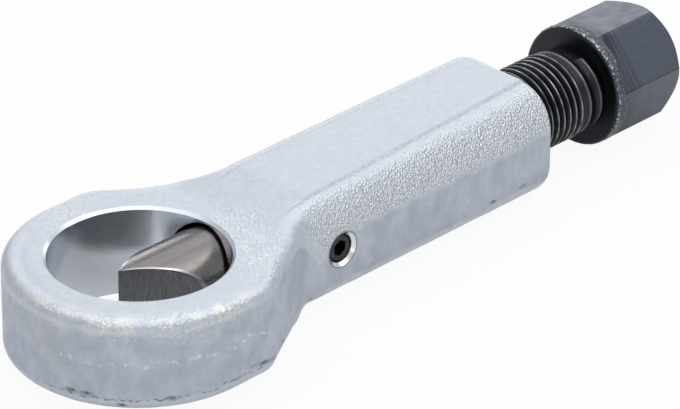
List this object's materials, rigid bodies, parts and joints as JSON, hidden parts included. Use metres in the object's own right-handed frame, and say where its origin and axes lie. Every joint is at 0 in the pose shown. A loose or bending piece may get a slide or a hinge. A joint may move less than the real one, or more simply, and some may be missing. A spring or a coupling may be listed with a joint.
{
  "type": "nut splitter",
  "caption": "Ring-type nut splitter: a forged eye goes over a seized nut, and a forcing screw with a hexagon head drives a sliding chisel across the eye to split it.",
  "frame": {"origin": "centre of the eye, at half the ring's thickness, on the forcing screw's axis", "axes": "+X along the forcing screw to its hexagon, +Z through the eye, away from the underside"},
  "size_m": [0.1431, 0.0446, 0.0219],
  "materials": {
    "plated_steel": "shot-blasted forging, bright zinc plated",
    "tool_steel": "hardened and ground, tempered brown-grey",
    "bright_steel": "polished bearing ball",
    "black_oxide": "turned and milled, black oxide",
    "screw_black": "black oxide"
  },
  "bodies": {
    "body": {"body": "plated_steel", "set_screw": "screw_black"},
    "chisel": {"chisel": "tool_steel", "thrust_ball": "bright_steel"},
    "spindle": {"spindle": "black_oxide"}
  },
  "joints": [
    {"name": "chisel_feed", "type": "slide", "parent": "body", "child": "chisel", "axis": [-1, 0, 0], "range_m": [-0.018, 0.01]},
    {"name": "spindle_turn", "type": "hinge", "parent": "chisel", "child": "spindle", "pos_m": [0.0512, 0, 0], "axis": [-1, 0, 0], "range_deg": [-4320, 2400]}
  ],
  "couplings": [
    {"joint": "spindle_turn", "follows": "chisel_feed", "rad_per_m": 4188.8}
  ]
}
